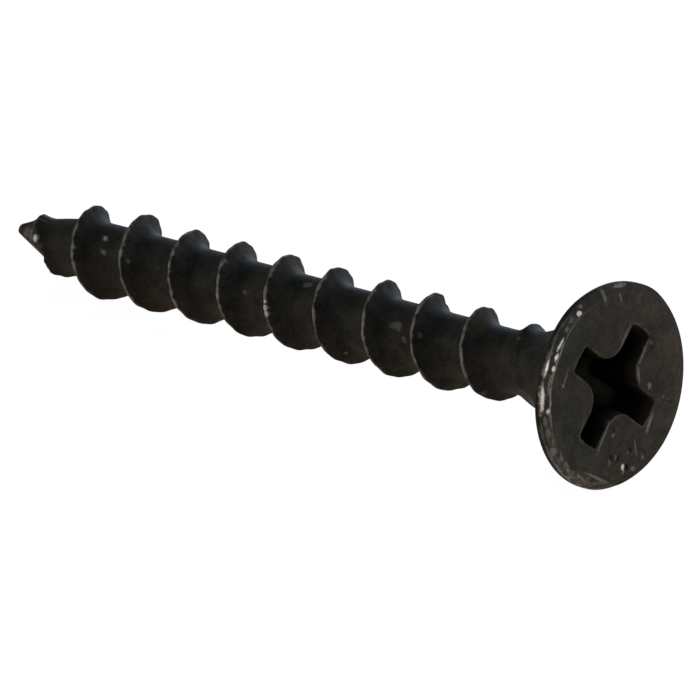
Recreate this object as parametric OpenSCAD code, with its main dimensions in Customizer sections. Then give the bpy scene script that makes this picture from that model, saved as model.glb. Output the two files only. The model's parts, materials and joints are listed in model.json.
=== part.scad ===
// Coarse thread drywall screw with a bugle head and a cross recess.
// The real screw is headed and rolled from one length of wire, so it is one solid.
// In its own frame it stands on its point, with its head at the top of +Z.
// As a part it lies on the floor, as it comes to rest: on the rim of its head and on
// one turn of its thread.

/* [Shank] */
// Length from the point to the flat of the head
length = 31.8; // [25:0.1:45]
// Diameter of the core between the turns of the thread
core_d = 2.36; // [1.9:0.02:2.8]

/* [Thread] */
// Diameter over the crests
thread_d = 3.56; // [3:0.02:4.4]
// Distance between neighbouring crests, along the axis
pitch = 2.6; // [2:0.05:3.2]
// Width of the narrow flat on the crest
crest_w = 0.12; // [0.04:0.01:0.2]
// Axial length of each flank, with the fillet at its root
flank_w = 0.48; // [0.3:0.02:0.6]
// How hollow the flanks are: 1 is a straight V
flank_hollow = 1.15; // [1:0.05:2]
// Length from the point over which the thread rises to full height
lead_in = 4.4; // [3:0.1:6]
// How late the thread rises: 1 is a straight taper
lead_in_curve = 1.2; // [1:0.1:2]
// Length over which the thread dies out into the head
runout = 4; // [2:0.1:5]
// How suddenly the thread dies out: 1 is a straight taper
runout_curve = 0.55; // [0.4:0.05:1]
// Angle about the axis at which the crest leaves the point
thread_turn = 5; // [0:1:359]

/* [Point] */
// Length of the pointed end of the core
point_l = 5.3; // [3:0.1:6]
// Roundness of the point: 1 is a straight cone
point_round = 1.9; // [1:0.1:2.4]
// Diameter of the blunt tip
tip_d = 0.26; // [0.1:0.02:0.4]

/* [Pinch flat] */
// Length of the flat that the pinched-off end leaves beside the tip
flat_l = 2.6; // [1:0.05:3.5]
// Distance of the flat from the axis, at the tip
flat_offset = 0.26; // [0.1:0.02:0.4]
// Slope of the flat, from the axis
flat_slope = 17; // [8:1:24]
// Angle of the flat about the axis
flat_turn = 308; // [0:1:359]

/* [Head] */
// Diameter of the head
head_d = 8.2; // [6.8:0.1:9.8]
// Height of the rim, with its bevel
rim_h = 0.42; // [0.3:0.02:0.6]
// Width of the bevel round the face
bevel_w = 0.34; // [0.1:0.02:0.5]
// Height of the bevel round the face
bevel_h = 0.15; // [0.05:0.01:0.25]
// Radius of the hollow curve under the head
bugle_r = 5.9; // [4.5:0.1:7]

/* [Cross recess] */
// Width over the wings at the mouth
recess_d = 5; // [4.2:0.1:5.6]
// Depth at the axis
recess_depth = 2.6; // [2.1:0.1:3.1]
// Depth at the ends of the wings
wing_depth = 1.7; // [1.3:0.1:2]
// Width of each wing
wing_w = 1.12; // [0.9:0.02:1.3]
// Slope of the ends of the wings, from the axis
wing_slope = 13.25; // [8:0.25:18]
// Radius on the corners between the wings
corner_r = 0.95; // [0.2:0.05:1.1]
// Angle of the cross about the axis
recess_turn = 47; // [0:1:89]

/* [Hidden] */
$fn = 96;
black_phosphate = [0.09, 0.09, 0.09];

core_r = core_d / 2;
thread_r = thread_d / 2;
head_r = head_d / 2;
tip_r = tip_d / 2;

// The hollow curve under the head is an arc that leaves the core along its side.
function arc_height(rise) = sqrt(pow(bugle_r, 2) - pow(bugle_r - rise, 2));
rim_s = length - rim_h;
flare_s = rim_s - arc_height(head_r - core_r);

// The threaded shank is faceted. Its end sinks into the true curves of the head at this
// seam, where the hollow curve has swallowed the thread.
seam_gap = 0.015;
seam_sink = 0.35;
seam_s = flare_s + arc_height(thread_r - core_r);
seam_r = thread_r - seam_gap;
shank_end = seam_s + seam_sink;

// A share of the way from 0 to 1
function share(x) = max(0, min(1, x));

// Radius of the point, the core and the curve under the head, at distance s from the tip
function point_radius(s) = tip_r + (core_r - tip_r) * (1 - pow(1 - share(s / point_l), point_round));
function flare_radius(s) = core_r + bugle_r - sqrt(pow(bugle_r, 2) - pow(s - flare_s, 2));
function base_radius(s) = s < flare_s ? point_radius(s) : s < seam_s ? flare_radius(s) : seam_r;

// Height of the crest over the base: it rises from the tip and dies out under the head.
function lead_share(s) = pow(share(s / lead_in), lead_in_curve);
function runout_share(s) = pow(share((seam_s - s) / runout), runout_curve);
function crest_height(s) = max(0, thread_r - base_radius(s)) * lead_share(s) * runout_share(s);

// Height of the flank at axial distance d from the crest: 1 at the crest, 0 at its root
function flank_share(d) = pow(1 - share((abs(d) - crest_w / 2) / flank_w), flank_hollow);
function skin_radius(s, d) = min(seam_r + seam_gap * share((seam_s - s) / seam_sink),
                                 base_radius(s) + crest_height(s) * flank_share(d));

// The skin of the shank is one strip, as wide as the pitch, wound round the axis. Its rows
// lie across the strip at these distances from the crest.
facets = 48;
flank_steps = [1, 0.68, 0.34, 0];
row_offsets = concat(
    [for (q = flank_steps) -crest_w / 2 - q * flank_w],
    [for (i = [len(flank_steps) - 1 : -1 : 0]) crest_w / 2 + flank_steps[i] * flank_w],
    [pitch / 2]
);
per_turn = len(row_offsets);
// One turn more at the tip, one more at the end, and one for the skin to close on itself
turns = ceil(shank_end / pitch) + 3;
rows = per_turn * turns;
snap = 0.04;

// Distance from the tip of row k on facet line i, drawn to the two end planes
function raw_s(i, k) =
    pitch * (i / facets + floor(k / per_turn) - 1 + thread_turn / 360) + row_offsets[k % per_turn];
function row_s(i, k) =
    let (s = raw_s(i, k)) s < snap ? 0 : s > shank_end - snap ? shank_end : s;
function at(i, r, s) = let (a = 360 * i / facets) [r * cos(a), r * sin(a), s];

// Rows that are drawn to an end plane share the vertices of its ring.
function vertex(i, k) =
    let (s = row_s(i, k)) s == 0 ? i : s == shank_end ? facets + i : 2 * facets + i * rows + k;

module threaded_shank() {
    tip_ring = [for (i = [0 : facets - 1]) at(i, tip_r, 0)];
    end_ring = [for (i = [0 : facets - 1]) at(i, seam_r, shank_end)];
    skin = [for (i = [0 : facets - 1], k = [0 : rows - 1])
        let (s = row_s(i, k)) at(i, skin_radius(s, row_offsets[k % per_turn]), s)];
    // After a full turn, each row meets the one that is a pitch further on.
    quads = [for (i = [0 : facets - 1], k = [0 : rows - 2 - per_turn])
        let (wrap = i == facets - 1, j = wrap ? 0 : i + 1, m = wrap ? k + per_turn : k)
        [vertex(i, k), vertex(i, k + 1), vertex(j, m + 1), vertex(j, m)]];
    triangles = [for (q = quads) each [[q[0], q[1], q[2]], [q[0], q[2], q[3]]]];
    whole = [for (t = triangles) if (t[0] != t[1] && t[1] != t[2] && t[2] != t[0]) t];
    caps = [[for (i = [0 : facets - 1]) i], [for (i = [facets - 1 : -1 : 0]) facets + i]];
    color(black_phosphate)
        polyhedron(concat(tip_ring, end_ring, skin), concat(whole, caps), convexity = 10);
}

module bugle_head() {
    color(black_phosphate)
        rotate_extrude()
            difference() {
                polygon([
                    [0, seam_s],
                    [head_r, seam_s],
                    [head_r, length - bevel_h],
                    [head_r - bevel_w, length],
                    [0, length]
                ]);
                translate([core_r + bugle_r, flare_s]) circle(bugle_r);
            }
}

// Outline of the cross, with the corners between its wings rounded off
module cross_outline() {
    overlap = 0.01;
    square([head_d, wing_w], center = true);
    square([wing_w, head_d], center = true);
    for (a = [0 : 90 : 270])
        rotate(a)
            translate([wing_w / 2, wing_w / 2])
                difference() {
                    translate([-overlap, -overlap]) square(corner_r + overlap);
                    translate([corner_r, corner_r]) circle(corner_r);
                }
}

// The cross, cut off by the cone of the wing ends and by the flatter cone of the floor
module cross_recess() {
    clear = 1;
    narrowing = tan(wing_slope);
    color(black_phosphate)
        rotate(recess_turn)
            intersection() {
                translate([0, 0, length - recess_depth - clear])
                    linear_extrude(recess_depth + 2 * clear)
                        cross_outline();
                rotate_extrude()
                    polygon([
                        [0, length + clear],
                        [recess_d / 2 + clear * narrowing, length + clear],
                        [recess_d / 2 - wing_depth * narrowing, length - wing_depth],
                        [0, length - recess_depth]
                    ]);
            }
}

// What the pinch takes off: a block whose inner face slopes out from beside the tip
module pinch_cut() {
    color(black_phosphate)
        rotate(flat_turn)
            translate([flat_offset, 0, 0])
                rotate([0, flat_slope, 0])
                    translate([0, -thread_d / 2, -thread_d])
                        cube([thread_d, thread_d, thread_d + flat_l]);
}

// The screw lies on the rear edge of its rim and on the crest under it that carries it
// at the least slope.
under_s = [for (t = [0 : turns]) pitch * (t + thread_turn / 360)];
slopes = [for (s = under_s)
    if (s > snap && s < flare_s)
        atan2(head_r - base_radius(s) - crest_height(s), rim_s - s)];
rest_slope = min(slopes);
rest_lift = head_r * cos(rest_slope) - rim_s * sin(rest_slope);
tip_x = -tip_r * sin(rest_slope);
face_x = length * cos(rest_slope) + (head_r - bevel_w) * sin(rest_slope);

module screw() {
    translate([-(tip_x + face_x) / 2, 0, rest_lift])
        rotate([0, 90 - rest_slope, 0])
            difference() {
                union() {
                    threaded_shank();
                    bugle_head();
                }
                cross_recess();
                pinch_cut();
            }
}

screw();
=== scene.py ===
# %% [markdown]
# # A coarse thread drywall screw in black phosphate
#
# A real drywall screw is one length of wire. Its head is struck in a die, its point is pinched off, its
# thread is rolled, and a phosphate bath leaves a matt black skin of fine crystals on the steel. This
# lesson builds that skin as one closed mesh. Every surface is worked out with numpy as a function of two
# parameters, and the finish comes from shader nodes.
#
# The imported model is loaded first. It fixes the frame, so nothing has to be fitted afterwards.

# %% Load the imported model
import json
import math

import bpy
import numpy as np
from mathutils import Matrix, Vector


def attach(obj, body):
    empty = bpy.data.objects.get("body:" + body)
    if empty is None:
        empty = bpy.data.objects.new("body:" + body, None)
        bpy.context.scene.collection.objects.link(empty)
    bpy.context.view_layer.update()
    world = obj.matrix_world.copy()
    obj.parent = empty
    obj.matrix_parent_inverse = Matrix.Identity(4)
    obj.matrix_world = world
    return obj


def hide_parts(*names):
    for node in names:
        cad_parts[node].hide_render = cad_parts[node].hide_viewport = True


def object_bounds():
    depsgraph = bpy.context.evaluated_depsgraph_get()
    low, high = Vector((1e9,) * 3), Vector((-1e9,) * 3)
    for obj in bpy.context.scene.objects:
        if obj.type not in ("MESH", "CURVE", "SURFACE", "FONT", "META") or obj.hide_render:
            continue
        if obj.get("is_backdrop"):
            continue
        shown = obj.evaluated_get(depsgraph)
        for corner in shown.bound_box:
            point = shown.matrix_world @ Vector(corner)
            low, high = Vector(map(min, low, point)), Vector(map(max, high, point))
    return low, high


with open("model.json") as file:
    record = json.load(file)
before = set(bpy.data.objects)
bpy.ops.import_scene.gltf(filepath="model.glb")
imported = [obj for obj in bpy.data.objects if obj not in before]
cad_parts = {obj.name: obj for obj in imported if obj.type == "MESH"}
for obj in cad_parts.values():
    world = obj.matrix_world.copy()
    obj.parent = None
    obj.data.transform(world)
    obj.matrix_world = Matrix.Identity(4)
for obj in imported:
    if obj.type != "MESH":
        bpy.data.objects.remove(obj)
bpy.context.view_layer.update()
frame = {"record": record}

MM = 0.001

# %% [markdown]
# ## The screw's own frame
#
# A screw is easiest to describe standing on its point: s is the distance from the point along the axis,
# and an angle turns about it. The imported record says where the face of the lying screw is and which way
# it looks, so those two give the whole placement. Lengths stay in millimetres until the last step, and
# places along the thread are counted in turns.

# %% Sizes in millimetres
LENGTH = 31.8
CORE_R = 2.36 / 2
THREAD_R = 3.56 / 2
PITCH = 2.6
THREAD_TURN = 5 / 360
HEAD_R = 8.14 / 2
RIM_H = 0.42
BUGLE_R = 5.9

face = next(m for m in frame["record"]["mounts"] if m["name"] == "drive_recess")
face_centre = np.array(face["pos_m"])
axis = np.array(face["axis"])
slope = math.atan2(axis[2], axis[0])
OWN_X = np.array([math.sin(slope), 0.0, -math.cos(slope)])
OWN_Y = np.array([0.0, 1.0, 0.0])
tip = face_centre - LENGTH * MM * axis
print(f"The screw lies at {math.degrees(slope):.2f} degrees, with its point at {np.round(tip / MM, 2)} mm")


def placed(points):
    """Points of the screw's own frame, in millimetres, as points of the part's frame, in metres."""
    return tip + MM * (points @ np.array([OWN_X, OWN_Y, axis]))


# %% [markdown]
# ## Shaping functions
#
# Three small functions do most of the shaping. A share is held between 0 and 1, an ease runs from 0 to 1
# and is level at both ends, and a soft floor turns a hard corner at zero into a fillet.

# %% Shares, eases and soft corners
def share(x):
    """x, held between 0 and 1."""
    return np.clip(x, 0.0, 1.0)


def ease(x):
    """Three times the share squared, less twice its cube."""
    return share(x) ** 2 * (3 - 2 * share(x))


def soft_floor(x, fillet):
    """The larger of 0 and x, rounded: half the sum of x and the root of x squared plus fillet squared."""
    return (x + np.sqrt(x * x + fillet * fillet)) / 2


print("A quarter of the way along, an ease has reached", round(float(ease(0.25)), 3))

# %% [markdown]
# ## The body under the thread
#
# The point is an ogive that ends in a small round nose. The core is a cylinder. Under the head, the bugle
# is an arc that leaves the core along its side, so board paper is pressed in and not torn.

# %% Radius of the body along the axis
POINT_L = 5.3
POINT_ROUND = 2.25
TIP_R = 0.38 / 2
NOSE_L = 0.15


def arc_height(rise):
    """Axial length over which the bugle's arc rises so far from the core: Pythagoras in its circle."""
    return math.sqrt(BUGLE_R**2 - (BUGLE_R - rise) ** 2)


RIM_S = LENGTH - RIM_H
FLARE_S = RIM_S - arc_height(HEAD_R - CORE_R)
SEAM_S = FLARE_S + arc_height(THREAD_R - CORE_R)


def body_radius(s):
    """The ogive, times the quarter circle of the nose, plus the rise of the bugle's arc over the core."""
    ogive = TIP_R + (CORE_R - TIP_R) * (1 - (1 - share(s / POINT_L)) ** POINT_ROUND)
    nose = np.sqrt(1 - (1 - share(s / NOSE_L)) ** 2)
    rise = BUGLE_R - np.sqrt(BUGLE_R**2 - np.maximum(0.0, s - FLARE_S) ** 2)
    return ogive * nose + rise


print(f"The bugle starts at {FLARE_S:.2f} mm, swallows the thread at {SEAM_S:.2f} "
      f"and meets the rim at {RIM_S:.2f}")

# %% [markdown]
# ## The rolled thread
#
# Flat dies press the thread out of the core, so its crest is a narrow land with soft edges, and its flanks
# run into the core in a wide hollow curve. The thread grows out of the point and dies out under the bugle.
#
# Dies and handling leave it uneven. It swells and wanders from turn to turn, and it has flats where it was
# struck. Each of these is a bell curve, given by its place in turns, its size in millimetres and its half
# length in turns. Where the point was pinched, the first turn was squeezed broad. A fine ripple runs along
# the whole crest. It is a sum of waves, each given by its swings in a turn and its start in radians.

# %% Unevenness of the thread
UNEVEN = [
    (0.42, 0.015, 0.18),
    (0.87, 0.06, 0.06),
    (0.92, -0.03, 0.20),
    (1.42, 0.04, 0.15),
    (1.90, 0.03, 0.08),
    (2.42, 0.11, 0.12),
    (3.487, -0.06, 0.035),
    (3.92, -0.05, 0.15),
    (4.92, -0.04, 0.15),
    (5.34, -0.03, 0.04),
    (5.97, -0.03, 0.04),
    (7.33, -0.08, 0.05),
    (7.93, 0.02, 0.08),
    (8.32, -0.08, 0.06),
    (8.365, -0.15, 0.028),
    (8.93, 0.04, 0.05),
    (9.33, -0.09, 0.06),
    (9.42, -0.03, 0.06),
    (10.75, -0.25, 0.15),
]
WANDERS = [
    (0.42, -0.12, 0.25),
    (0.90, -0.25, 0.15),
    (2.42, 0.06, 0.12),
    (3.50, 0.06, 0.30),
    (4.60, 0.05, 0.30),
    (7.50, 0.05, 0.20),
    (8.93, 0.04, 0.15),
    (9.46, 0.05, 0.10),
]
BROAD = [(0.90, 0.25, 0.22)]
RIPPLE_WAVES = [(6.3, 2.0), (10.7, 4.4), (17.9, 5.5)]
RIPPLE_HEIGHT = 0.010


def bells(listed, places):
    """The sum of the listed bell curves: size times e to minus the square of distance over half length."""
    middle, size, half = np.array(listed).T
    return (size * np.exp(-(((places[..., None] - middle) / half) ** 2))).sum(-1)


def ripple(turns):
    """The ripple's height times the sum of the sines of two pi times swings times turns, plus the start."""
    swings, start = np.array(RIPPLE_WAVES).T
    return RIPPLE_HEIGHT * np.sin(2 * np.pi * swings * turns[..., None] + start).sum(-1)


one_turn = 5 + np.linspace(0, 1, 100)
print("Over one turn the ripple reaches", round(float(np.abs(ripple(one_turn)).max()), 3), "mm")

# %% Profile of the thread
CREST_W = 0.13
FLANK_W = 0.80
FLANK_HOLLOW = 2.1
CREST_SOFT = 0.022
ROOT_SOFT = 0.10
LEAD_IN = 4.4
LEAD_CURVE = 1.15
RUNOUT = 4.0
RUNOUT_CURVE = 0.55


def crest_height(s, turns):
    """The gap from the body to the crest circle, times the rise at the point and the fall at the bugle."""
    rise = share((s - NOSE_L) / (LEAD_IN - NOSE_L)) ** LEAD_CURVE
    fall = share((SEAM_S - s) / RUNOUT) ** RUNOUT_CURVE
    uneven = (bells(UNEVEN, turns) + ripple(turns)) * share((s - NOSE_L) / NOSE_L) * fall
    return np.maximum(0.0, THREAD_R - body_radius(s)) * rise * fall + uneven


def flank_share(d, turns):
    """1 on the land, then a fall over the flank's width to a power, with both corners rounded."""
    half_land = CREST_W / 2 + bells(BROAD, turns)
    past_edge = soft_floor(np.abs(d) - half_land, CREST_SOFT) / FLANK_W
    return soft_floor(1 - past_edge, ROOT_SOFT) ** FLANK_HOLLOW


fifth = np.array(5.0)
print("The land keeps", round(float(flank_share(0.0, fifth)), 3), "of the height, and mid-pitch",
      round(float(flank_share(PITCH / 2, fifth)), 3))

# %% [markdown]
# ## The pinch flat
#
# The pointing die nips the waste off and leaves a flat beside the tip, which cuts away the first bit of
# thread. It is a plane that leans away from the axis, and past its end the cut steps back out. Only
# columns that face the plane can be cut by it, so the rest get a limit that nothing reaches.

# %% Limit that the flat sets on the radius
FLAT_L = 2.415
FLAT_OFFSET = 0.16
FLAT_SLOPE = math.radians(19.5)
FLAT_TURN = math.radians(308)
STEP_SLOPE = 5.0
LEAST_FACING = 0.15
NO_LIMIT = 99.0

flat_end = FLAT_L * math.cos(FLAT_SLOPE)


def flat_limit(a, s):
    """Distance of the leaning plane from the axis, over the cosine of the angle to its middle."""
    distance = FLAT_OFFSET + s * math.tan(FLAT_SLOPE) + STEP_SLOPE * np.maximum(0.0, s - flat_end)
    facing = np.cos(a - FLAT_TURN)
    return np.where(facing > LEAST_FACING, distance / np.maximum(facing, LEAST_FACING), NO_LIMIT)


print("The flat is", round(float(flat_limit(FLAT_TURN, 0.0)), 2), "mm from the axis at the tip and",
      round(float(flat_limit(FLAT_TURN, flat_end)), 2), "mm at its end")

# %% [markdown]
# ## The threaded skin
#
# A grid of straight rings would cut the crest into steps. So the skin is one strip as wide as the pitch,
# wound round the axis: its columns run along the axis and its rows follow the crest. Rows gather where the
# profile bends. The ends of the strip are cut off square, by drawing the rows that pass an end onto one
# ring, and the faces that collapse there are dropped.

# %% Rows across the strip
COLUMNS = 208
ROWS = 24
RECESS_TURN = math.radians(47)
EDGE_REACH, FLANK_REACH = 0.05, 0.25
EVERYWHERE, AT_EDGE, ON_FLANK = 0.55, 5.0, 1.2
SAMPLES = 2001

column_angle = RECESS_TURN + 2 * np.pi * np.arange(COLUMNS) / COLUMNS


def row_places(count):
    """Offsets from the crest, in equal shares of a density with bells at the land's edges and mid-flank."""
    d = np.linspace(-PITCH / 2, PITCH / 2, SAMPLES)
    past_edge = np.abs(d) - CREST_W / 2
    at_edge = np.exp(-((past_edge / EDGE_REACH) ** 2))
    on_flank = np.exp(-(((past_edge - FLANK_W / 2) / FLANK_REACH) ** 2))
    total = np.cumsum(EVERYWHERE + AT_EDGE * at_edge + ON_FLANK * on_flank)
    return np.interp((np.arange(count) + 0.5) / count * total[-1], total, d)


offsets = row_places(ROWS)
print("Row spacing runs from", round(float(np.diff(offsets).min()), 3), "to",
      round(float(np.diff(offsets).max()), 3), "mm")

# %% Points of the strip
SNAP = 0.03
TURNS_BEFORE = 2
TURNS = math.ceil(SEAM_S / PITCH) + 3

strip_turns = column_angle[None, :] / (2 * np.pi) + (np.arange(TURNS) - TURNS_BEFORE)[:, None]
crest_s = PITCH * (strip_turns + THREAD_TURN) + bells(WANDERS, strip_turns)
strip_s = (crest_s[:, None, :] + offsets[None, :, None]).reshape(-1, COLUMNS)
strip_turns = np.repeat(strip_turns, ROWS, axis=0)
strip_d = np.tile(offsets, TURNS)[:, None] * np.ones(COLUMNS)
before = strip_s < NOSE_L + SNAP
after = strip_s > SEAM_S - SNAP
strip_s = np.clip(strip_s, NOSE_L, SEAM_S)


def skin_radius(a, s, d, turns):
    """The body, plus the crest's height times the flank's share, under the limit of the pinch flat."""
    r = body_radius(s) + crest_height(s, turns) * flank_share(d, turns)
    return np.minimum(r, flat_limit(a, s))


strip_r = skin_radius(column_angle, strip_s, strip_d, strip_turns)
print("The strip has", strip_s.shape[0], "rows of", COLUMNS, "points")

# %% [markdown]
# ## The head outside
#
# The head is a profile carried once round the axis: the rest of the bugle's arc, a low rim and a bevel.
# Each corner of the profile is replaced by a short curve, because a struck edge is never sharp and a round
# edge is what catches light.

# %% Rounded profile of the rim
BEVEL_W = 0.34
BEVEL_H = 0.15
ARC_POINTS = 26
SETBACKS = (0.06, 0.045, 0.05)
CURVE_POINTS = 7


def rounded(corners, setbacks, count):
    """Each inner corner becomes a curve of k from 0 to 1: the corner, less its setback times the square of
    1 - k along the way in, plus its setback times the square of k along the way out."""
    corners = np.array(corners)
    way = np.diff(corners, axis=0)
    way = way / np.linalg.norm(way, axis=1, keepdims=True)
    k = np.linspace(0, 1, count)[None, :, None]
    t = np.array(setbacks)[:, None, None]
    lead_in, lead_out = way[:-1, None, :], way[1:, None, :]
    return (corners[1:-1, None, :] + t * (k**2 * lead_out - (1 - k) ** 2 * lead_in)).reshape(-1, 2)


arc_ends = [math.asin((s - FLARE_S) / BUGLE_R) for s in (SEAM_S, RIM_S)]
arc = np.linspace(*arc_ends, ARC_POINTS)
bugle = np.stack([CORE_R + BUGLE_R * (1 - np.cos(arc)), FLARE_S + BUGLE_R * np.sin(arc)], -1)
rim_corners = [
    bugle[-2],
    (HEAD_R, RIM_S),
    (HEAD_R, LENGTH - BEVEL_H),
    (HEAD_R - BEVEL_W, LENGTH),
    (0, LENGTH),
]
rim = rounded(rim_corners, SETBACKS, CURVE_POINTS)
print("The rim's profile has", len(rim), "points in its round corners")

# %% [markdown]
# A long stretch of the profile gets points in between, so that wear has something to follow. The struck
# head is not quite round either. Its bulges and flats are bell curves again, each given by its angle in
# degrees, its size in millimetres and its half width in degrees, and they fade out towards the core.

# %% Rings of the head's outside
LONGEST = 0.06
FADE_POWER = 4
OUT_OF_ROUND = [
    (42, 0.10, 32),
    (140, 0.05, 12),
    (180, -0.01, 25),
    (210, 0.075, 18),
    (343, 0.02, 12),
]


def filled(profile, longest):
    """The same profile, with evenly spaced points added on every stretch that is longer than longest."""
    gaps = np.linalg.norm(np.diff(profile, axis=0), axis=1)
    along = np.concatenate([[0.0], np.cumsum(gaps)])
    shares = [np.arange(n) / n for n in np.ceil(gaps / longest).astype(int)]
    places = np.concatenate([a + gap * f for a, gap, f in zip(along, gaps, shares)] + [along[-1:]])
    return np.stack([np.interp(places, along, profile[:, i]) for i in (0, 1)], -1)


def revolved(profile):
    """The profile's radius, plus the bells times a power of its share of the head's, carried round."""
    r, s = profile[:, 0, None], profile[:, 1, None]
    away = bells(OUT_OF_ROUND, np.degrees(column_angle) % 360)
    r = r + away * (r / HEAD_R) ** FADE_POWER
    return np.stack([r * np.cos(column_angle), r * np.sin(column_angle), s + 0 * column_angle], -1)


head_profile = np.vstack([bugle[:-1], filled(rim, LONGEST)])
print("The head's outside has", len(head_profile), "rings")

# %% [markdown]
# ## The cross recess
#
# A fluted punch strikes the cross. Seen from above, each wing ends in an arc, has straight sides and runs
# into the next wing round a hollow corner. The punch tapers, so all three draw in with depth, and its tip
# is a flat cone. One eighth of the outline is written as three stretches of a parameter u, and mirroring
# and turning give the rest. Every stretch keeps its columns at every depth, so the edges run straight down
# the walls. Where a wall and the floor meet depends on both, so that depth is found by turns.

# %% Outline of the cross at any depth
RECESS_R = 5.0 / 2
RECESS_DEPTH = 2.6
WING_DEPTH = 1.7
WING_HALF = 1.12 / 2
CORNER_R = 0.95
WING_SLOPE = math.tan(math.radians(13.25))
SIDE_SLOPE = math.tan(math.radians(2.0))
CORNER_LOSS = 0.2
FOOT_TRIES = 12

eighth = COLUMNS // 8
END_SHARE = 6 / eighth
SIDE_SHARE = 16 / eighth
within = np.arange(COLUMNS) % (2 * eighth)
mirrored = within > eighth
u = np.where(mirrored, 2 * eighth - within, within) / eighth
quarter = np.arange(COLUMNS) // (2 * eighth)


def cross_ring(depth):
    """End arc, straight side and hollow corner, drawn in by the depth of each column times their slopes.
    Then each point moves half way to the middle of its neighbours, as a punch has no sharp edges."""
    r = RECESS_R - depth * WING_SLOPE
    h = WING_HALF - depth * SIDE_SLOPE
    c = CORNER_R - depth * CORNER_LOSS
    end_angle = np.arcsin(h / r)
    on_end = share(u / END_SHARE) * end_angle
    on_side = share((u - END_SHARE) / (SIDE_SHARE - END_SHARE))
    on_corner = -np.pi / 2 - share((u - SIDE_SHARE) / (1 - SIDE_SHARE)) * np.pi / 4
    side_x = r * np.cos(end_angle) * (1 - on_side) + (h + c) * on_side
    stretches = [u < END_SHARE, u < SIDE_SHARE]
    x = np.select(stretches, [r * np.cos(on_end), side_x], h + c + c * np.cos(on_corner))
    y = np.select(stretches, [r * np.sin(on_end), h], h + c + c * np.sin(on_corner))
    x, y = np.where(mirrored, y, x), np.where(mirrored, x, y)
    turn = RECESS_TURN + quarter * np.pi / 2
    ring = np.stack([x * np.cos(turn) - y * np.sin(turn), x * np.sin(turn) + y * np.cos(turn)], -1)
    return (np.roll(ring, 1, -2) + 2 * ring + np.roll(ring, -1, -2)) / 4


def floor_depth(r):
    """The floor's cone: full depth at the axis, and the wings' depth where they end."""
    return RECESS_DEPTH - (RECESS_DEPTH - WING_DEPTH) * r / (RECESS_R - WING_DEPTH * WING_SLOPE)


foot_depth = np.full(COLUMNS, WING_DEPTH)
for _ in range(FOOT_TRIES):
    foot_depth = floor_depth(np.linalg.norm(cross_ring(foot_depth), axis=-1))
print("The walls meet the floor between", round(foot_depth.min(), 2), "and",
      round(foot_depth.max(), 2), "mm down")

# %% Face, lip, walls and floor as rings
LIP = 0.07
FACE_ROWS, LIP_ROWS, WALL_ROWS, FLOOR_ROWS = 11, 6, 13, 8
WALL_POWER = 0.8

mouth = cross_ring(np.zeros(COLUMNS))
tangent = np.roll(mouth, -1, 0) - np.roll(mouth, 1, 0)
outward = np.stack([tangent[:, 1], -tangent[:, 0]], -1) / np.linalg.norm(tangent, axis=1, keepdims=True)


def ring_at(flat, depth):
    """Points of the head from their places in the face's plane and their depths under it."""
    depth = np.broadcast_to(depth, flat.shape[:-1])
    return np.concatenate([flat, (LENGTH - depth)[..., None]], -1)


quarter_turn = (np.arange(LIP_ROWS) / (LIP_ROWS - 1) * np.pi / 2)[:, None]
lip_flat = mouth + LIP * (1 - np.sin(quarter_turn))[..., None] * outward
lip = ring_at(lip_flat, LIP * (1 - np.cos(quarter_turn)))

face_edge = revolved(head_profile[-1:])[0, :, :2]
inward = ease(np.arange(1, FACE_ROWS) / FACE_ROWS)[:, None, None]
face_rows = ring_at(face_edge * (1 - inward) + lip[0, :, :2] * inward, 0.0)

down = (np.arange(1, WALL_ROWS + 1) / WALL_ROWS)[:, None] ** WALL_POWER
wall_depth = LIP + down * (foot_depth - LIP)
walls = ring_at(np.stack([cross_ring(d) for d in wall_depth]), wall_depth)

to_axis = (1 - np.arange(1, FLOOR_ROWS) / FLOOR_ROWS)[:, None, None]
floor_flat = walls[-1, :, :2] * to_axis
floor = ring_at(floor_flat, floor_depth(np.linalg.norm(floor_flat, axis=-1)))
print("The recess has", len(lip) + len(walls) + len(floor), "rings")

# %% [markdown]
# ## One closed mesh
#
# The nose, the strip, the head and the recess share their columns, so they join ring to ring. A corner of
# a face is just a number into one long list of points, and rows of the strip that were drawn onto an end
# ring take that ring's numbers. Quads that collapsed to a triangle or a line are sorted out at the end.
#
# Two blows left their trace. Striking the head pushed it a little off the axis, and pinching the wire bent
# the point. So all points of the head and of the point move sideways, by an ease along the axis.

# %% Points of the whole screw
NOSE_ROWS = 9
HEAD_SHIFT = np.array([-0.035, -0.03])
TIP_SHIFT = np.array([-0.045, 0.0])
BEND_S, BEND_L = 1.4, 1.2

nose_turn = (np.arange(1, NOSE_ROWS + 1) / NOSE_ROWS * np.pi / 2)[:, None]
nose_s = NOSE_L * (1 - np.cos(nose_turn)) + 0 * column_angle
nose_r = np.minimum(body_radius(nose_s), flat_limit(column_angle, nose_s))
nose = np.stack([nose_r * np.cos(column_angle), nose_r * np.sin(column_angle), nose_s], -1)
strip = np.stack([strip_r * np.cos(column_angle), strip_r * np.sin(column_angle), strip_s], -1)
head = np.concatenate([revolved(head_profile), face_rows, lip, walls, floor])

points = np.concatenate([
    [[0.0, 0.0, 0.0]],
    nose.reshape(-1, 3),
    strip.reshape(-1, 3),
    head.reshape(-1, 3),
    [[0.0, 0.0, LENGTH - RECESS_DEPTH]],
])
points[:, :2] += HEAD_SHIFT * ease((points[:, 2:] - FLARE_S) / (RIM_S - FLARE_S))
points[:, :2] += TIP_SHIFT * ease((BEND_S - points[:, 2:]) / BEND_L)

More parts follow.
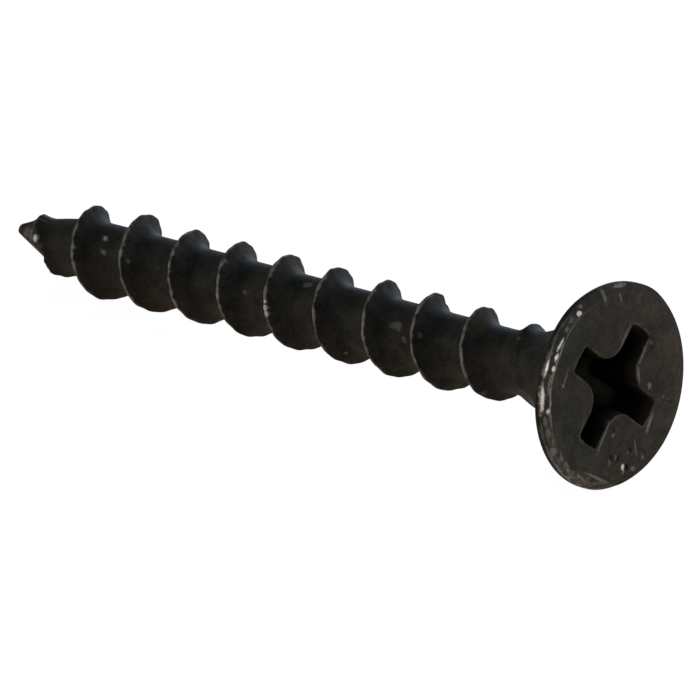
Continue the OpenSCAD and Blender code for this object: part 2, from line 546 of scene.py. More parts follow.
nose_id = 1 + np.arange(len(nose) * COLUMNS).reshape(-1, COLUMNS)
strip_id = nose_id[-1, -1] + 1 + np.arange(len(strip) * COLUMNS).reshape(-1, COLUMNS)
head_id = strip_id[-1, -1] + 1 + np.arange(len(head) * COLUMNS).reshape(-1, COLUMNS)
strip_start, head_start = strip_id[0, 0], head_id[0, 0]
centre_id = len(points) - 1
strip_id = np.where(before, nose_id[-1], np.where(after, head_id[0], strip_id))
print("Before the ends are cut there are", len(points), "points")


# %% Faces between the rows
def quads(ids, shift=0):
    """The four corners between neighbouring rows and columns. Past the last column, rows go on by shift."""
    rows = len(ids) - shift
    here = ids[:rows]
    beside = np.concatenate([ids[:rows, 1:], ids[shift:shift + rows, :1]], axis=1)
    corners = [here[:-1], beside[:-1], beside[1:], here[1:]]
    return np.stack(corners, -1).reshape(-1, 4)


def fan(ids, middle, flip):
    """Triangles from a ring to one point."""
    corners = [ids, np.roll(ids, -1), np.full(len(ids), middle)]
    return np.stack(corners[::-1] if flip else corners, -1)


four = np.concatenate([quads(nose_id), quads(strip_id, ROWS), quads(head_id)])
plain = (four != np.roll(four, 1, axis=1)).all(axis=1)
plain &= (four[:, 0] != four[:, 2]) & (four[:, 1] != four[:, 3])
halves = np.concatenate([four[~plain][:, [0, 1, 2]], four[~plain][:, [0, 2, 3]]])
halves = halves[(halves != np.roll(halves, 1, axis=1)).all(axis=1)]
three = np.concatenate([halves, fan(nose_id[0], 0, True), fan(head_id[-1], centre_id, False)])
corners = np.concatenate([four[plain].ravel(), three.ravel()])
used, renumbered = np.unique(corners, return_inverse=True)
in_quads = 4 * plain.sum()
faces = renumbered[:in_quads].reshape(-1, 4).tolist() + renumbered[in_quads:].reshape(-1, 3).tolist()
print(len(used), "points,", plain.sum(), "quads and", len(three), "triangles:",
      2 * plain.sum() + len(three), "triangles in all")


def sides(corners):
    """Every pair of neighbouring corners, the smaller number first."""
    return np.sort(np.stack([corners, np.roll(corners, -1, axis=1)], -1).reshape(-1, 2), axis=1)


all_sides = np.concatenate([sides(four[plain]), sides(three)])
times_used = np.unique(all_sides, axis=0, return_counts=True)[1]
print("Every edge joins two faces:", bool((times_used == 2).all()))

# %% Put the screw into Blender
mesh = bpy.data.meshes.new("phosphated_screw")
mesh.from_pydata(placed(points)[used], [], faces)
mesh.polygons.foreach_set("use_smooth", np.ones(len(faces), bool))
mesh.update()
screw = bpy.data.objects.new("phosphated_screw", mesh)
bpy.context.scene.collection.objects.link(screw)
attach(screw, "root")
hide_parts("screw")
print("The mesh has", len(mesh.polygons), "faces")

# %% [markdown]
# ## Ways along the surface
#
# Wear follows the form: it runs along the crest, round the rim and round the lip of the recess. So each
# point of the mesh keeps lengths in millimetres. On the thread they are the distance across it and the
# height of the crest. On the head they run inwards from the outer edge of the bevel, and from the lip of
# the recess. The material reads them as it would read a texture's coordinates.
#
# The same points carry the worn specks of the shank, because a shader has room for only so many marks, and
# three broad, soft patches of painted light: the warm light from the floor on the bugle's underside. Each
# is listed by its place in the screw's own frame, its half size and its strength: up to 1 the coat is
# rubbed grey, and from about 1.6 the steel is bare.

# %% Lengths on the thread
FAR_AWAY = 9.0

thread_way = np.full((len(points), 3), FAR_AWAY)
crest_rise = crest_height(strip_s, strip_turns)
on_strip = np.stack([np.abs(strip_d), crest_rise], -1)
thread_way[strip_start:head_start, :2] = on_strip.reshape(-1, 2)
print("The crest is up to", round(float(crest_rise.max()), 2), "mm high")

# %% Specks of the shank, and painted light under the bugle
SPECK_EDGE = 1.5
SPECKS_AND_PAINTED_LIGHT = [
    (-0.20, -0.42, 0.80, 0.28, 0.75),
    (-0.25, -0.62, 1.25, 0.28, 0.80),
    (-0.35, -1.03, 1.86, 0.17, 2.0),
    (-0.10, -1.10, 2.15, 0.13, 0.6),
    (-0.68, -1.61, 4.46, 0.10, 1.2),
    (-0.04, -1.78, 4.56, 0.12, 1.1),
    (-0.94, -0.71, 5.34, 0.13, 1.6),
    (-0.51, -1.07, 5.51, 0.12, 1.2),
    (-1.20, -1.29, 6.91, 0.10, 1.1),
    (-0.61, -1.43, 7.25, 0.10, 0.8),
    (-0.88, -1.55, 9.57, 0.10, 1.3),
    (-1.48, -0.98, 12.04, 0.16, 0.8),
    (-0.29, -1.75, 12.35, 0.10, 1.3),
    (-0.46, -1.09, 13.30, 0.12, 1.2),
    (-1.42, -1.08, 14.63, 0.10, 1.0),
    (-0.57, -1.69, 14.87, 0.10, 1.6),
    (-0.34, -1.75, 14.93, 0.12, 2.0),
    (-0.10, -1.78, 14.97, 0.13, 2.0),
    (-1.10, -0.42, 16.04, 0.20, 0.8),
    (1.10, -0.86, 18.32, 0.09, 1.0),
    (-0.64, -0.99, 21.05, 0.17, 0.70),
    (-0.66, -0.98, 21.36, 0.21, 0.85),
    (-0.23, -1.16, 21.78, 0.13, 0.7),
    (-0.70, -1.36, 22.84, 0.13, 0.7),
    (-0.68, -1.60, 25.22, 0.10, 1.1),
    (1.12, -1.13, 25.86, 0.16, 0.7),
    (-1.38, -0.76, 27.52, 0.10, 0.8),
    # The last three are broad, soft patches of painted light: warm light from the floor on the bugle's
    # underside, given as grey rub.
    (0.55, -1.35, 27.90, 0.45, 0.25),
    (0.71, -1.38, 28.28, 0.50, 0.45),
    (0.95, -1.60, 28.90, 0.60, 0.60),
]


def speck_and_painted_light_strength(places):
    """The strongest listed spot at each point: strength times the ease of 1.5 less distance over half size.
    """
    listed = np.array(SPECKS_AND_PAINTED_LIGHT)
    distance = np.linalg.norm(places[..., None, :] - listed[:, :3], axis=-1)
    return (listed[:, 4] * ease(SPECK_EDGE - distance / listed[:, 3])).max(axis=-1)


thread_way[:, 2] = speck_and_painted_light_strength(points)
print("Specks touch", int((thread_way[:, 2] > 0).sum()), "points")

# %% Lengths on the head, and all of them into attributes
steps_in = np.linalg.norm(np.diff(head, axis=0), axis=-1)
way_in = np.vstack([np.zeros(COLUMNS), np.cumsum(steps_in, axis=0)])
outer_row = np.argmin(np.linalg.norm(head_profile - (HEAD_R, LENGTH - BEVEL_H), axis=1))
lip_row = len(head_profile) + len(face_rows)
from_edge = way_in - way_in[outer_row]
from_lip = way_in - way_in[lip_row]
head_way = np.full((len(points), 3), -FAR_AWAY)
head_way[head_start:-1, :2] = np.stack([from_edge, from_lip], -1).reshape(-1, 2)
head_way[-1, :2] = head_way[-2, :2]

for name, values in [("thread_way", thread_way), ("head_way", head_way)]:
    attribute = mesh.attributes.new(name, "FLOAT_VECTOR", "POINT")
    attribute.data.foreach_set("vector", values[used].ravel())
inner_edge = float(from_edge[len(head_profile) - 1].mean())
print("The bevel is", round(inner_edge, 2), "mm wide along its slope")

# %% [markdown]
# ## Helpers for node trees
#
# Shader nodes can be joined by hand or by script. Small functions keep the script short: one adds a node
# and links what it is given, a few do sums with masks, and two start and place a node group.

# %% Add nodes, sums and groups
def add(tree, kind, inputs=None, **settings):
    """A new node. Each input is named or numbered, and takes a value or a link from a socket."""
    made = tree.nodes.new("ShaderNode" + kind)
    for name, value in settings.items():
        setattr(made, name, value)
    for name, value in (inputs or {}).items():
        if isinstance(value, bpy.types.NodeSocket):
            tree.links.new(value, made.inputs[name])
        else:
            made.inputs[name].default_value = value
    return made


def sum_of(tree, operation, *values, clamp=False):
    """What a Math node makes of its two or three values."""
    return add(tree, "Math", dict(enumerate(values)), operation=operation, use_clamp=clamp).outputs[0]


def product(tree, first, *others):
    """All values multiplied together."""
    for value in others:
        first = sum_of(tree, "MULTIPLY", first, value)
    return first


def strongest(tree, first, *others):
    """The largest of all values."""
    for value in others:
        first = sum_of(tree, "MAXIMUM", first, value)
    return first


def scaled(tree, value, factor, offset):
    """The value times a factor, plus an offset."""
    return sum_of(tree, "MULTIPLY_ADD", value, factor, offset)


def step_up(tree, value, low, high):
    """0 below low and 1 above high, with an ease between them."""
    inputs = {"Value": value, "From Min": low, "From Max": high}
    return add(tree, "MapRange", inputs, interpolation_type="SMOOTHSTEP").outputs["Result"]


def ramp(tree, value, low, high, at_low, at_high):
    """A straight way from one value at low to another at high, level on both sides."""
    inputs = {"Value": value, "From Min": low, "From Max": high, "To Min": at_low, "To Max": at_high}
    return add(tree, "MapRange", inputs).outputs["Result"]


def blend(tree, share_of_second, first, second):
    """A colour between two, by a share."""
    inputs = {"Factor": share_of_second, "A": first, "B": second}
    made = add(tree, "Mix", data_type="RGBA")
    for name, value in inputs.items():
        socket = [s for s in made.inputs if s.name == name and s.enabled][0]
        if isinstance(value, bpy.types.NodeSocket):
            tree.links.new(value, socket)
        else:
            socket.default_value = value
    return [s for s in made.outputs if s.enabled][0]


def new_group(name, inputs, output):
    """A node group with these inputs, their kinds and values, and one output of a kind."""
    group = bpy.data.node_groups.new(name, "ShaderNodeTree")
    for label, kind, value in inputs:
        socket = group.interface.new_socket(label, in_out="INPUT", socket_type="NodeSocket" + kind)
        socket.default_value = value
    group.interface.new_socket(output[0], in_out="OUTPUT", socket_type="NodeSocket" + output[1])
    return group, group.nodes.new("NodeGroupInput").outputs, group.nodes.new("NodeGroupOutput").inputs


def use(tree, group, **inputs):
    """The output of a group placed in a tree. Spaces in its inputs' names are written as underscores."""
    made = add(tree, "Group", node_tree=group)
    for name, value in inputs.items():
        socket = made.inputs[name.replace("_", " ")]
        if isinstance(value, bpy.types.NodeSocket):
            tree.links.new(value, socket)
        else:
            socket.default_value = value
    return made.outputs[0]


helpers = (add, sum_of, product, strongest, scaled, step_up, ramp, blend, new_group, use)
print("Helpers:", ", ".join(helper.__name__ for helper in helpers))

# %% [markdown]
# ## Groups for the finish
#
# Four effects come back again and again on this finish, so each is a node group with its own values
# wherever it is placed. Mottling is the uneven take-up of the phosphate. A frayed line is wear along an
# edge. A mark is one scratch, chip or pit, and a sprinkle is a scatter of bright or dark crystals.

# %% Mottling
mottle, given, put = new_group(
    "mottle",
    [("Point", "Vector", (0, 0, 0)), ("Size", "Float", 0.4), ("Detail", "Float", 4.0),
     ("Contrast", "Float", 1.0)],
    ("Value", "Float"),
)
noise = add(mottle, "TexNoise", {
    "Vector": given["Point"],
    "Scale": sum_of(mottle, "DIVIDE", 1.0, given["Size"]),
    "Detail": given["Detail"],
    "Roughness": 0.6,
})
centred = sum_of(mottle, "SUBTRACT", noise.outputs[0], 0.5)
spread = sum_of(mottle, "MULTIPLY_ADD", centred, given["Contrast"], 0.5, clamp=True)
mottle.links.new(spread, put["Value"])
print("The mottle group has", len(mottle.nodes), "nodes")

# %% Frayed line
frayed, given, put = new_group(
    "frayed_line",
    [("Distance", "Float", 0.0), ("Half width", "Float", 0.05), ("Grain", "Float", 0.5),
     ("Fray", "Float", 0.5)],
    ("Mask", "Float"),
)
away = sum_of(frayed, "DIVIDE", sum_of(frayed, "ABSOLUTE", given["Distance"]), given["Half width"])
bell = sum_of(frayed, "SUBTRACT", 1.5, away)
bitten = scaled(frayed, sum_of(frayed, "SUBTRACT", given["Grain"], 0.5), given["Fray"], bell)
frayed.links.new(step_up(frayed, bitten, 0.0, 1.0), put["Mask"])
print("The frayed line group has", len(frayed.nodes), "nodes")

# %% Mark
mark, given, put = new_group(
    "mark",
    [("Point", "Vector", (0, 0, 0)), ("Centre", "Vector", (0, 0, 0)), ("Turn", "Float", 0.0),
     ("Half size", "Vector", (0.1, 0.1, 0.5)), ("Grain", "Float", 0.5), ("Fray", "Float", 1.0),
     ("Strength", "Float", 1.0)],
    ("Mask", "Float"),
)
in_place = add(mark, "Mapping", {
    "Vector": given["Point"],
    "Location": given["Centre"],
    "Rotation": add(mark, "CombineXYZ", {"Z": given["Turn"]}).outputs[0],
    "Scale": given["Half size"],
}, vector_type="TEXTURE")
reach = add(mark, "VectorMath", {0: in_place.outputs[0]}, operation="LENGTH").outputs["Value"]
inside = sum_of(mark, "SUBTRACT", 1.3, reach)
bitten = scaled(mark, sum_of(mark, "SUBTRACT", given["Grain"], 0.5), given["Fray"], inside)
shape = step_up(mark, bitten, -0.15, 0.75)
mark.links.new(product(mark, shape, given["Strength"]), put["Mask"])
print("The mark group has", len(mark.nodes), "nodes")

# %% Sprinkle
sprinkle, given, put = new_group(
    "sprinkle",
    [("Point", "Vector", (0, 0, 0)), ("Spacing", "Float", 0.5), ("Size", "Float", 0.05),
     ("Share", "Float", 0.3)],
    ("Mask", "Float"),
)
cells = add(sprinkle, "TexVoronoi", {
    "Vector": given["Point"],
    "Scale": sum_of(sprinkle, "DIVIDE", 1.0, given["Spacing"]),
})
chance = add(sprinkle, "SeparateColor", {"Color": cells.outputs["Color"]}).outputs
chosen = sum_of(sprinkle, "LESS_THAN", chance[0], given["Share"])
radius = product(sprinkle, given["Size"], scaled(sprinkle, chance[1], 0.8, 0.4))
distance = product(sprinkle, cells.outputs["Distance"], given["Spacing"])
within_dot = sum_of(sprinkle, "SUBTRACT", 1.5, sum_of(sprinkle, "DIVIDE", distance, radius))
dot = step_up(sprinkle, within_dot, 0.0, 1.0)
sprinkle.links.new(product(sprinkle, dot, chosen), put["Mask"])
print("The sprinkle group has", len(sprinkle.nodes), "nodes")

# %% [markdown]
# ## Black phosphate
#
# The bath grows zinc and iron phosphate crystals a few hundredths of a millimetre across. They soak up
# oil, so the coat is a very dark grey with brown and green in it, rough, and hardly reflective. The bevel
# is darker than the face, and the outer part of the face is a little lighter than the middle. Down in the
# recess the coat is painted nearly black: painted shade for the deep, narrow cross. The coat is also a
# little lighter towards +Y and darker towards -Y, which is painted light and shade. The coordinates are
# millimetres in the screw's own frame, so nothing shifts if the part is placed elsewhere.

# %% Coordinates of the finish
finish = bpy.data.materials.new("black_phosphate")
finish.use_nodes = True
tree = finish.node_tree
tree.nodes.clear()
own = add(tree, "Mapping", {
    "Vector": add(tree, "TexCoord").outputs["Object"],
    "Location": tip,
    "Rotation": (0, math.pi / 2 - slope, 0),
    "Scale": (MM, MM, MM),
}, vector_type="TEXTURE").outputs[0]
own_x, own_y = add(tree, "SeparateXYZ", {0: own}).outputs[:2]
on_thread = add(tree, "Attribute", attribute_name="thread_way").outputs["Vector"]
across, rise_here, specks_and_painted_light_here = add(tree, "SeparateXYZ", {0: on_thread}).outputs
on_head = add(tree, "Attribute", attribute_name="head_way").outputs["Vector"]
edge_way, lip_way = add(tree, "SeparateXYZ", {0: on_head}).outputs[:2]
around = sum_of(tree, "ARCTAN2", own_y, own_x)
print("The finish reads", " and ".join(n for n in mesh.attributes.keys() if n.endswith("_way")))

# %% Coat with its mottling
COAT_GREEN = (0.0285, 0.0325, 0.0245, 1)
COAT_BROWN = (0.0362, 0.0326, 0.0260, 1)
FINE_SHARE = 0.45
BROWNER_PER_MM = 0.12
PAINTED_LIGHT_PER_MM = 0.04
DARKEST, LIGHTEST = 0.55, 1.45
RECESS_PAINTED_SHADE = 0.7
BEVEL_LOSS = 0.4
MIDDLE_SHADE = 0.74

fine = use(tree, mottle, Point=own, Size=0.16, Detail=3.0, Contrast=2.4)
broad = use(tree, mottle, Point=own, Size=0.7, Detail=3.0, Contrast=2.6)
drift = use(tree, mottle, Point=own, Size=1.4, Detail=3.0, Contrast=3.0)
tint = sum_of(tree, "MULTIPLY_ADD", own_y, BROWNER_PER_MM, drift, clamp=True)
patchy = scaled(tree, fine, FINE_SHARE, product(tree, broad, 1 - FINE_SHARE))
# Painted light and shade: the coat is a little lighter towards +Y, where most lamps stand, and darker
# towards -Y.
patchy = scaled(tree, own_y, PAINTED_LIGHT_PER_MM, patchy)
shade = ramp(tree, patchy, 0.2, 0.8, DARKEST, LIGHTEST)

# Painted shade: the coat is darkened deep in the recess, where the narrow cross gets hardly any light.
recess_shade = step_up(tree, lip_way, 0.15, 0.8)
on_bevel = product(tree, step_up(tree, edge_way, -0.05, 0.02), step_up(tree, edge_way, 0.42, 0.34))
recess_painted_shade = scaled(tree, recess_shade, -RECESS_PAINTED_SHADE, 1.0)
at_bevel = scaled(tree, on_bevel, -BEVEL_LOSS, 1.0)
near_middle = ramp(tree, edge_way, 0.7, 1.6, 1.0, MIDDLE_SHADE)
tone_with_painted_light_and_shade = product(tree, shade, recess_painted_shade, at_bevel, near_middle)
tinted = blend(tree, tint, COAT_GREEN, COAT_BROWN)
coat = add(tree, "VectorMath", {0: tinted, 3: tone_with_painted_light_and_shade}, operation="SCALE").outputs[0]
print("With its coat the finish has", len(tree.nodes), "nodes")

# %% [markdown]
# ## Wear along the edges
#
# Handling rubs the coat to grey along the crest, most on two opposite sides, and driver bits rub it at the
# lip of the recess. On this screw's rim the grey is strongest on one side, so the two edges of the bevel
# get a share that follows the angle about the axis. Lower down, the whole bevel is rubbed in patches. No
# worn
# line is even: grain frays it, and a slow noise fades it out.

# %% Noises and sides of the wear
RIM_STRETCH = 0.4

streaky = use(tree, mottle, Point=own, Size=0.22, Detail=3.0, Contrast=2.0)
slow = use(tree, mottle, Point=own, Size=1.3, Detail=2.0, Contrast=3.2)
beaded = use(tree, mottle, Point=own, Size=0.35, Detail=1.0, Contrast=2.4)
rolled = add(tree, "CombineXYZ", {"X": product(tree, around, RIM_STRETCH * HEAD_R), "Y": edge_way})
on_rim = use(tree, mottle, Point=rolled.outputs[0], Size=0.20, Detail=3.0, Contrast=2.4)


def lobe(middle, narrowness):
    """The cosine of the angle to a middle, as a share, to a power."""
    facing = sum_of(tree, "COSINE", sum_of(tree, "SUBTRACT", around, math.radians(middle)))
    return sum_of(tree, "POWER", strongest(tree, facing, 0.0), narrowness)


near_side = lobe(middle=246, narrowness=1.5)
far_side = lobe(middle=66, narrowness=1.5)
crest_sides = strongest(tree, near_side, far_side)
rubbed_side = scaled(tree, lobe(middle=248, narrowness=6.0), 0.9, 0.03)
rubbed_low = lobe(middle=316, narrowness=5.0)
print("With the noises of its wear the finish has", len(tree.nodes), "nodes")

# %% Rubbed crest
CREST_HALF = 0.062
CREST_BARE = 0.35

crest_line = use(tree, frayed, Distance=across, Half_width=CREST_HALF, Grain=beaded, Fray=0.9)
crest_there = step_up(tree, rise_here, 0.36, 0.50)
crest_fade = product(tree, ramp(tree, slow, 0.0, 1.0, 0.5, 1.0), scaled(tree, crest_sides, 0.85, 0.15))
crest_rub = product(tree, crest_line, crest_there, crest_fade)
crest_bare = product(tree, crest_rub, step_up(tree, beaded, 0.2, 0.8), CREST_BARE)
print("The rubbed line on the crest is", 2 * CREST_HALF, "mm wide before it frays")

# %% Rubbed rim and lip
LIP_GREY = 0.16

from_inner = sum_of(tree, "SUBTRACT", edge_way, inner_edge)
from_middle = sum_of(tree, "SUBTRACT", edge_way, inner_edge / 2)
outer_line = use(tree, frayed, Distance=edge_way, Half_width=0.05, Grain=on_rim, Fray=2.8)
inner_line = use(tree, frayed, Distance=from_inner, Half_width=0.045, Grain=on_rim, Fray=3.2)
bevel_band = use(tree, frayed, Distance=from_middle, Half_width=inner_edge / 2.4, Grain=on_rim, Fray=1.0)
band_patches = product(tree, bevel_band, scaled(tree, step_up(tree, on_rim, 0.45, 1.0), 0.75, 0.25))
two_lines = product(tree, strongest(tree, outer_line, inner_line), rubbed_side)
patches_there = scaled(tree, rubbed_side, 0.35, rubbed_low)
patches = product(tree, strongest(tree, outer_line, band_patches), patches_there)
rim_rub = strongest(tree, two_lines, patches)
lip_line = use(tree, frayed, Distance=lip_way, Half_width=0.05, Grain=streaky, Fray=2.2)
lip_rub = product(tree, lip_line, step_up(tree, slow, 0.35, 0.8), LIP_GREY)
print("With its rubbed edges the finish has", len(tree.nodes), "nodes")

# %% [markdown]
# ## Single marks
#
# The larger scratches, chips and pits are placed one by one, because they are what makes this screw this
# one. A mark on the head is given by its place across the face, the turn of its long axis in degrees, its
# half length and half width, and its strength. Sizes are in millimetres.

# %% Places of the marks
BARE_ON_HEAD = [
    (3.32, 0.14, 5, 0.13, 0.075, 1.0),
    (-2.18, -3.13, 325, 0.15, 0.06, 1.0),
    (-2.62, -2.85, 317, 0.26, 0.045, 0.8),
    (-3.53, -1.71, 296, 0.11, 0.09, 0.9),
    (-1.77, -3.35, 332, 0.10, 0.08, 1.0),
    (-1.86, -3.61, 333, 0.30, 0.06, 1.0),
    (-0.71, -3.96, 352, 0.50, 0.08, 1.0),
    (-0.18, -3.78, 357, 0.10, 0.08, 0.9),
]
RUBBED_ON_HEAD = [
    (-1.28, -3.60, 340, 0.34, 0.05, 1.0),
    (1.53, -3.59, 23, 0.20, 0.13, 1.0),
    (0.22, -3.90, 3, 0.22, 0.09, 0.7),
    (0.72, -3.79, 11, 0.22, 0.10, 0.75),
    (-3.76, -1.56, 293, 0.09, 0.08, 0.8),
    (-2.38, -3.32, 324, 0.14, 0.07, 0.8),
    (-1.18, -2.73, 331, 0.32, 0.06, 0.45),
    (-0.94, -2.86, 331, 0.08, 0.07, 0.9),
    (-3.94, 0.68, 80, 0.34, 0.07, 1.0),
    (-3.82, -0.28, 8, 0.32, 0.09, 0.6),
    (-3.50, 0.58, 10, 0.22, 0.06, 0.5),
    (-3.40, -2.12, 302, 0.17, 0.09, 0.6),
    (-3.11, -2.42, 308, 0.12, 0.07, 0.8),
    (-1.17, 2.13, 30, 0.08, 0.06, 0.5),
    (-0.87, 1.66, 322, 0.50, 0.07, 0.55),
    (0.53, 1.90, 0, 0.14, 0.11, 0.70),
    (1.19, 2.65, 0, 0.08, 0.06, 0.40),
    (-0.10, 1.33, 5, 0.34, 0.07, 0.65),
    (1.89, -0.29, 0, 0.08, 0.07, 0.65),
    (1.78, -0.81, 323, 0.68, 0.06, 0.60),
    (2.05, 1.76, 327, 0.38, 0.09, 0.80),
    (-1.83, 0.69, 320, 0.56, 0.06, 0.48),
    (1.04, -1.98, 325, 0.40, 0.045, 0.28),
    (2.78, 0.48, 0, 0.09, 0.07, 0.65),
    (2.83, 0.92, 5, 0.36, 0.06, 0.45),
    (3.28, 1.28, 0, 0.09, 0.08, 0.6),
    (2.82, -0.22, 0, 0.11, 0.06, 0.5),
    (2.90, -0.58, 5, 0.17, 0.06, 0.5),
    (3.52, 0.12, 0, 0.10, 0.06, 0.6),
    (3.56, 0.70, 60, 0.15, 0.09, 0.7),
    (3.33, -1.30, 57, 0.70, 0.06, 0.75),
    (2.80, -2.66, 46, 0.36, 0.06, 0.65),
    (3.27, -1.95, 59, 0.28, 0.06, 0.65),
    (2.90, -2.35, 0, 0.13, 0.05, 0.9),
    (2.26, -2.99, 37, 0.16, 0.11, 0.7),
]
PITS_ON_HEAD = [
    (3.38, 0.35, 20, 0.14, 0.10, 1.0),
    (2.76, -0.48, 40, 0.15, 0.10, 0.8),
    (2.90, -0.10, 320, 0.13, 0.08, 0.8),
    (2.76, 0.56, 75, 0.14, 0.09, 0.8),
    (1.69, -0.24, 0, 0.12, 0.07, 0.8),
    (1.50, 2.93, 60, 0.20, 0.04, 0.7),
    (-0.96, 2.17, 0, 0.09, 0.06, 0.7),
]
print(len(BARE_ON_HEAD + RUBBED_ON_HEAD + PITS_ON_HEAD), "marks on the head")

# %% Masks of the marks
MARK_DEPTH = 0.07
MARK_REACH = 0.22
MARK_FRAY = 0.8
SPECK_FRAY = 0.35

ragged = use(tree, mottle, Point=own, Size=0.12, Detail=2.0, Contrast=2.0)


def marks(listed):
    """The strongest of all listed marks at each place."""
    masks = [use(tree, mark, Point=own, Centre=(x, y, LENGTH - MARK_DEPTH), Turn=math.radians(turn),
                 Half_size=(long, wide, MARK_REACH), Grain=ragged, Fray=MARK_FRAY, Strength=strength)
             for x, y, turn, long, wide, strength in listed]
    return strongest(tree, *masks)


# The specks, with the painted light under the bugle among them.
specks_and_painted_light = scaled(tree, sum_of(tree, "SUBTRACT", ragged, 0.5), SPECK_FRAY, specks_and_painted_light_here)
bare_marks = strongest(tree, marks(BARE_ON_HEAD), step_up(tree, specks_and_painted_light, 1.1, 1.6))
rubbed_marks_and_painted_light = strongest(tree, marks(RUBBED_ON_HEAD), step_up(tree, specks_and_painted_light, 0.15, 1.0))
pits = marks(PITS_ON_HEAD)
light_specks = use(tree, sprinkle, Point=own, Spacing=0.60, Size=0.035, Share=0.30)
dark_specks = use(tree, sprinkle, Point=own, Spacing=0.35, Size=0.05, Share=0.35)
print("With its marks the finish has", len(tree.nodes), "nodes")

# %% [markdown]
# ## Colours, sheen and bump
#
# Rubbing turns the coat grey, and only the hardest hits bare the steel. The same grey also paints the light
# under the bugle. Pits have no sheen at all, and in the deep recess the sheen is taken away as painted
# shade.
# A dark colour alone would keep one, so there the shader is told that the surface is metal with a nearly
# black colour, which reflects only as much as its colour allows.

# %% Colours come together
RUBBED = (0.230, 0.222, 0.202, 1)
STEEL = (0.80, 0.78, 0.74, 1)
PIT = (0.004, 0.004, 0.004, 1)
MARK_GREY = 0.8
SPRINKLE_GREY = 0.12
SPRINKLE_DARK = 0.35

grey_marks_and_painted_light = product(tree, rubbed_marks_and_painted_light, MARK_GREY)
grey_specks = product(tree, light_specks, SPRINKLE_GREY)
rub_and_painted_light = strongest(tree, crest_rub, rim_rub, lip_rub, grey_marks_and_painted_light, grey_specks)
dark = strongest(tree, pits, product(tree, dark_specks, SPRINKLE_DARK))
worn_and_painted_light = blend(tree, rub_and_painted_light, coat, RUBBED)
colour = blend(tree, dark, blend(tree, strongest(tree, bare_marks, crest_bare), worn_and_painted_light, STEEL), PIT)
print("Bare steel is", round(STEEL[1] / COAT_GREEN[1]), "times as bright as the coat")

# %% Bump and the surface
GRAIN_SHARE = 0.35
PIT_BUMP = -1.5
BUMP_HEIGHT = 0.00002
BUMP_STRENGTH = 0.35
RECESS_SHADE_DULL = 0.7
BARE_METAL = 0.35
COAT_ROUGH, STEEL_SMOOTHER = 0.58, 0.2

grain = use(tree, mottle, Point=own, Size=0.05, Detail=2.0, Contrast=1.5)
height = scaled(tree, grain, GRAIN_SHARE, product(tree, fine, 1 - GRAIN_SHARE))
height = scaled(tree, dark, PIT_BUMP, height)
bump = add(tree, "Bump", {"Height": height, "Strength": BUMP_STRENGTH, "Distance": BUMP_HEIGHT})
# Painted shade: deep in the recess the surface is made a black metal, so it loses its sheen.
dull_pits_and_recess_shade = strongest(tree, product(tree, recess_shade, RECESS_SHADE_DULL), dark)
surface = add(tree, "BsdfPrincipled", {
    "Base Color": colour,
    "Metallic": strongest(tree, dull_pits_and_recess_shade, product(tree, bare_marks, BARE_METAL)),
    "Roughness": scaled(tree, bare_marks, -STEEL_SMOOTHER, COAT_ROUGH),
    "Specular IOR Level": 0.15,
    "Normal": bump.outputs[0],
})
add(tree, "OutputMaterial", {"Surface": surface.outputs[0]})
mesh.materials.append(finish)
print("The whole finish has", len(tree.nodes), "nodes")

# %% [markdown]
# ## Studio
#
# The screw lies on a plain pale floor in soft light, and the camera stands far off with a long lens, so
# the far end is hardly smaller than the near one. The floor is white to the camera. To the screw it is a
# warm surface with a faint glow under a dim, cool sky, because a black part in an all-white box would look
# grey. All the lamps are large and half a metre or more away, so no highlight is hard.

# %% Camera
from mathutils import Matrix, Vector

AZIMUTH, ELEVATION, ROLL = np.radians([42.980, 23.482, 0.293])
FRAME_PX = 700
PX_PER_MM = 25.706
MIDDLE_PX = FRAME_PX / 2
ORIGIN_PX = (317.27, 372.95)
DISTANCE = 0.907
SENSOR = 36

scene = bpy.context.scene
level = np.array([math.cos(AZIMUTH), math.sin(AZIMUTH), 0.0])
toward = np.array([math.sin(AZIMUTH) * math.cos(ELEVATION), -math.cos(AZIMUTH) * math.cos(ELEVATION),
                   math.sin(ELEVATION)])
upright = np.cross(toward, level)
right = math.cos(ROLL) * level + math.sin(ROLL) * upright
up = np.cross(toward, right)
aim = MM * ((MIDDLE_PX - ORIGIN_PX[0]) * right + (ORIGIN_PX[1] - MIDDLE_PX) * up) / PX_PER_MM
camera = bpy.data.objects.new("camera", bpy.data.cameras.new("camera"))
camera.data.sensor_width = SENSOR
camera.data.lens = SENSOR * DISTANCE / (FRAME_PX / PX_PER_MM * MM)
turned = Matrix((right, up, toward)).transposed().to_4x4()
camera.matrix_world = Matrix.Translation(Vector(aim + DISTANCE * toward)) @ turned
scene.collection.objects.link(camera)
scene.camera = camera
scene.view_settings.view_transform = "Standard"
print("The lens is", round(camera.data.lens), "mm long, at", DISTANCE, "m")


# %% Floor and sky
def lit_by_ray(node_tree, to_camera, to_screw):
    """One shader for rays from the camera, and another for all other rays."""
    seen = add(node_tree, "LightPath").outputs["Is Camera Ray"]
    return add(node_tree, "MixShader", {0: seen, 1: to_screw, 2: to_camera}).outputs[0]


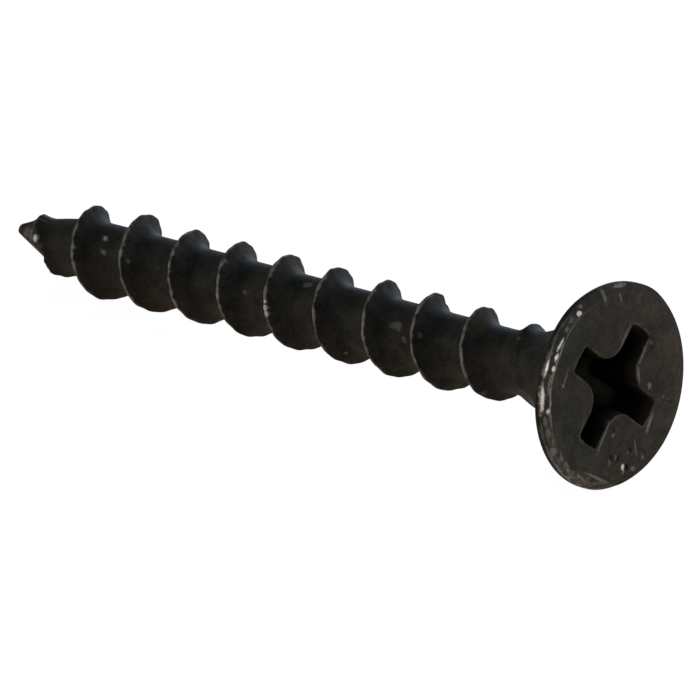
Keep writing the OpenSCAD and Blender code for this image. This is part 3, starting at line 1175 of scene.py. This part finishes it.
FLOOR_HALF = 1.5
floor_mesh = bpy.data.meshes.new("floor")
floor_corners = FLOOR_HALF * np.array([(-1, -1, 0), (1, -1, 0), (1, 1, 0), (-1, 1, 0)])
floor_mesh.from_pydata(floor_corners.tolist(), [], [(0, 1, 2, 3)])
floor_object = bpy.data.objects.new("floor", floor_mesh)
scene.collection.objects.link(floor_object)
floor_object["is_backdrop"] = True

paper = bpy.data.materials.new("pale_paper")
paper.use_nodes = True
paper_tree = paper.node_tree
paper_tree.nodes.clear()
white = add(paper_tree, "Emission", {"Color": (1, 1, 1, 1), "Strength": 0.96}).outputs[0]
shadowed = add(paper_tree, "BsdfDiffuse", {"Color": (0.25, 0.25, 0.25, 1)}).outputs[0]
seen_paper = add(paper_tree, "AddShader", {0: white, 1: shadowed}).outputs[0]
bounced = add(paper_tree, "BsdfDiffuse", {"Color": (0.80, 0.61, 0.50, 1)}).outputs[0]
glow = add(paper_tree, "Emission", {"Color": (1.0, 0.76, 0.64, 1), "Strength": 0.20}).outputs[0]
warm = add(paper_tree, "AddShader", {0: bounced, 1: glow}).outputs[0]
add(paper_tree, "OutputMaterial", {"Surface": lit_by_ray(paper_tree, seen_paper, warm)})
floor_mesh.materials.append(paper)

world = bpy.data.worlds.new("studio")
world.use_nodes = True
world_tree = world.node_tree
world_tree.nodes.clear()
bright = add(world_tree, "Background", {"Color": (1, 1, 1, 1), "Strength": 1.0}).outputs[0]
dim = add(world_tree, "Background", {"Color": (0.15, 0.16, 0.18, 1), "Strength": 1.0}).outputs[0]
add(world_tree, "OutputWorld", {"Surface": lit_by_ray(world_tree, bright, dim)})
scene.world = world
print("The floor is", 2 * FLOOR_HALF, "m wide")

# %% [markdown]
# Each lamp is given by its name, its place and its side in metres, its power in watts and its colour, and
# it looks at the middle of the screw.

# %% Lights
LIGHTS = [
    ("window", (0.60, 0.62, 0.14), 0.35, 2.30, (1.0, 0.98, 0.93)),
    ("front", (-0.75, -0.52, 0.08), 0.40, 1.40, (1.0, 0.91, 0.82)),
    ("sky", (-0.32, 0.68, 0.10), 0.40, 1.6, (0.62, 0.77, 1.0)),
    ("roof", (0.05, 0.60, 0.45), 0.30, 0.20, (0.60, 0.75, 1.0)),
    ("side", (0.85, -0.04, 0.12), 0.15, 0.95, (1.0, 0.95, 0.88)),
]
for name, place, size, watts, tone in LIGHTS:
    lamp = bpy.data.lights.new(name, "AREA")
    lamp.size = size
    lamp.energy = watts
    lamp.color = tone
    lamp_object = bpy.data.objects.new(name, lamp)
    lamp_object.location = place
    lamp_object.rotation_euler = (-Vector(place)).to_track_quat("-Z", "Y").to_euler()
    scene.collection.objects.link(lamp_object)
print("Lights:", ", ".join(name for name, *_ in LIGHTS))

# %% Boxes and the end
finished = [tuple(round(c / MM, 2) for c in corner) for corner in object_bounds()]
print("The finished screw's box:", finished, "mm")
